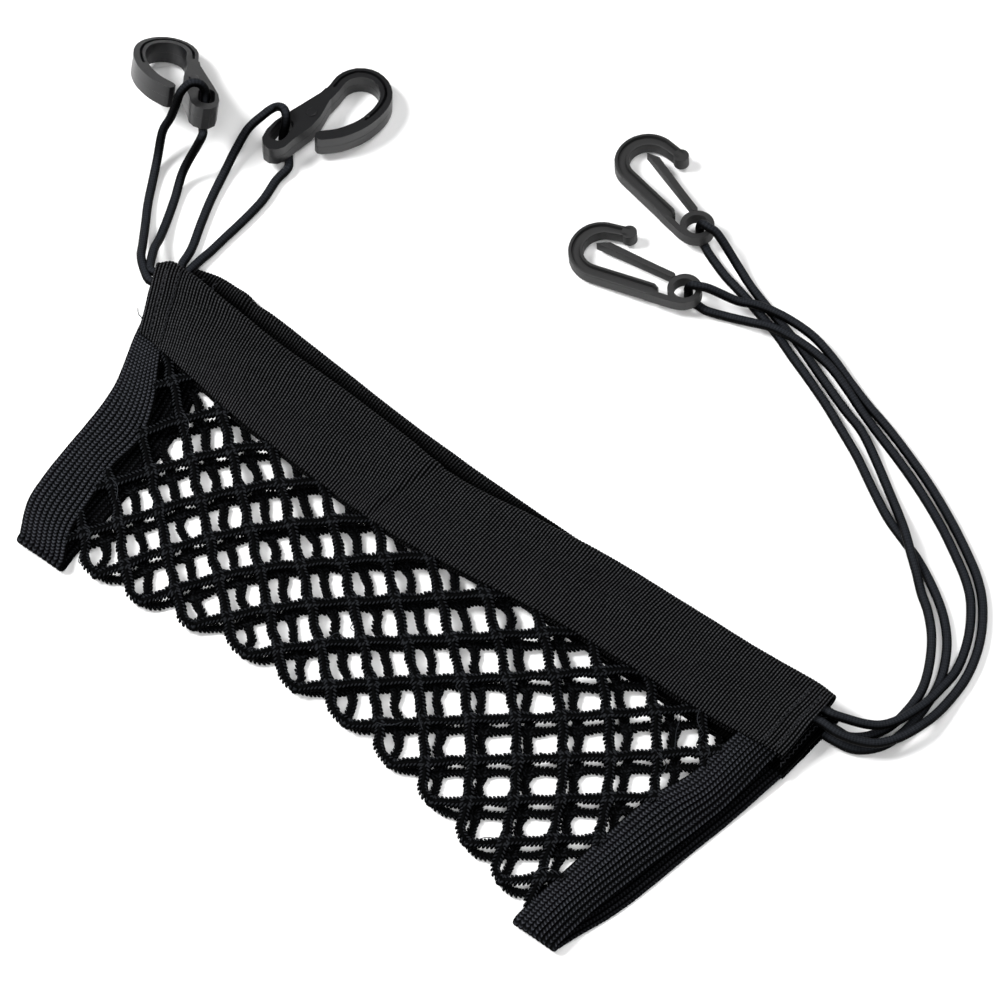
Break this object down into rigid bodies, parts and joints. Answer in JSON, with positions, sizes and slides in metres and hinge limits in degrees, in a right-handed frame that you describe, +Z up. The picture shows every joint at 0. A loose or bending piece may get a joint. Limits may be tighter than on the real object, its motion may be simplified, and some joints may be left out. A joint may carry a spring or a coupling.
{
  "type": "seat back storage net",
  "caption": "Black stretch mesh net for a seat back, with ribbon casings, knitted side bands, elastic cord loops, snap hooks and J hooks, folded once and lying flat.",
  "frame": {"origin": "on the resting surface, on the flat underside of the back casing, midway along it and about a third of the way from its hem to its fold", "axes": "+X along the casings towards the J-hook end of the net, +Y from the net's bottom fold towards the casings and hooks, +Z up from the surface that the net lies on"},
  "size_m": [0.4013, 0.2911, 0.0298],
  "materials": {
    "casing_front": "matte ribbed grosgrain",
    "casing_back": "matte ribbed grosgrain",
    "net": "matte knitted yarn",
    "band_left": "matte knitted elastic",
    "band_right": "matte knitted elastic",
    "cord_left_front": "braided sheath",
    "cord_left_back": "braided sheath",
    "cord_right_front": "braided sheath",
    "cord_right_back": "braided sheath",
    "snap_hook_front": "satin moulded",
    "snap_hook_back": "satin moulded",
    "j_hook_front": "satin moulded",
    "j_hook_back": "satin moulded",
    "j_tongue_front": "satin moulded",
    "j_tongue_back": "satin moulded"
  },
  "bodies": {
    "net_body": {"casing_front": "casing_front", "casing_back": "casing_back", "net": "net", "band_left": "band_left", "band_right": "band_right", "cord_left_front": "cord_left_front", "cord_left_back": "cord_left_back", "cord_right_front": "cord_right_front", "cord_right_back": "cord_right_back", "snap_hook_front": "snap_hook_front", "snap_hook_back": "snap_hook_back", "j_hook_front": "j_hook_front", "j_hook_back": "j_hook_back"},
    "j_tongue_front": {"j_tongue_front": "j_tongue_front"},
    "j_tongue_back": {"j_tongue_back": "j_tongue_back"}
  },
  "joints": [
    {"name": "j_tongue_front_hinge", "type": "hinge", "parent": "net_body", "child": "j_tongue_front", "pos_m": [0.00272, 0.13295, 0.00596], "axis": [-0.0779, -0.019, 0.9968], "range_deg": [-3, 12], "stiffness_Nm_per_rad": 0.2},
    {"name": "j_tongue_back_hinge", "type": "hinge", "parent": "net_body", "child": "j_tongue_back", "pos_m": [-0.00789, 0.16162, 0.00596], "axis": [-0.0777, 0.0199, 0.9968], "range_deg": [-3, 12], "stiffness_Nm_per_rad": 0.2}
  ]
}
